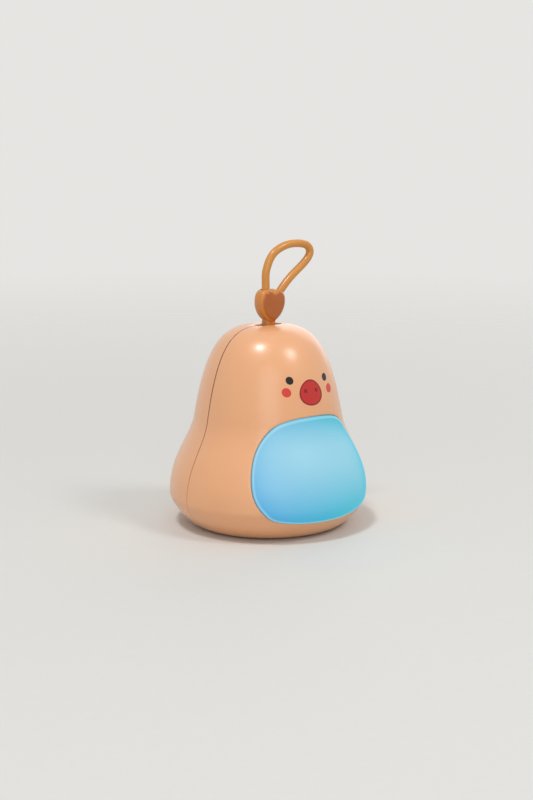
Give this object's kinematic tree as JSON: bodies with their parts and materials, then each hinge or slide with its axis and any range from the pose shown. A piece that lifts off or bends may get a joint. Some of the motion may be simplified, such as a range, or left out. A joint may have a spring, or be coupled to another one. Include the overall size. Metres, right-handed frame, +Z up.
{
  "type": "portable night light",
  "caption": "Portable night light: pear-shaped housing with a glowing front panel, a plain animal face above it, and a carry loop standing in a heart-shaped shackle hinged at the crown.",
  "frame": {"origin": "on the table under the middle of the feet, on the housing's upright axis", "axes": "+Z up along the housing's axis; -Y out of the glowing panel; +X to the right seen from the front"},
  "size_m": [0.0896, 0.0899, 0.1282],
  "materials": {
    "shell": "satin peach moulded plastic",
    "panel": "milky satin diffuser",
    "reflector": "satin white",
    "light_board": "white solder mask",
    "main_board": "green solder mask",
    "lamp": "phosphor fill in a white package",
    "screw": "bright zinc",
    "pin": "ground steel",
    "socket": "nickel plated",
    "cell": "blue heat-shrink sleeve",
    "black_plastic": "satin",
    "clear_rod": "clear polished",
    "foot": "matt grey",
    "red_wire": "satin insulation",
    "black_wire": "satin insulation",
    "white_wire": "satin insulation",
    "shackle": "amber gloss",
    "loop": "smooth amber silicone"
  },
  "bodies": {
    "housing": {"front_shell": "shell", "rear_shell": "shell", "light_panel": "panel", "reflector": "reflector", "led_board": "light_board", "led_1": "lamp", "led_2": "lamp", "led_3": "lamp", "led_4": "lamp", "led_5": "lamp", "led_6": "lamp", "tray_screw_1": "screw", "tray_screw_2": "screw", "tray_screw_3": "screw", "tray_screw_4": "screw", "led_screw_1": "screw", "led_screw_2": "screw", "base_cover": "shell", "base_screw_1": "screw", "base_screw_2": "screw", "base_screw_3": "screw", "base_screw_4": "screw", "foot_1": "foot", "foot_2": "foot", "foot_3": "foot", "foot_4": "foot", "battery_cell": "cell", "battery_clip": "black_plastic", "clip_screw_1": "screw", "clip_screw_2": "screw", "battery_lead_red": "red_wire", "battery_lead_black": "black_wire", "light_lead_red": "red_wire", "light_lead_white": "white_wire", "main_board": "main_board", "board_screw_1": "screw", "board_screw_2": "screw", "usb_socket": "socket", "charge_chip": "lamp", "charge_light_rod": "clear_rod", "switch_body": "black_plastic", "strap_pin": "pin"},
    "button": {"power_button": "shell", "switch_stem": "black_plastic"},
    "strap": {"heart_shackle": "shackle", "carry_loop": "loop"}
  },
  "joints": [
    {"name": "button_press", "type": "slide", "parent": "housing", "child": "button", "axis": [0, -1, 0], "range_m": [0, 0.0004], "stiffness_N_per_m": 500, "springref_m": -0.0008},
    {"name": "strap_sway", "type": "hinge", "parent": "housing", "child": "strap", "pos_m": [0, 0, 0.0875], "axis": [0, 1, 0], "range_deg": [-29, 21]}
  ]
}
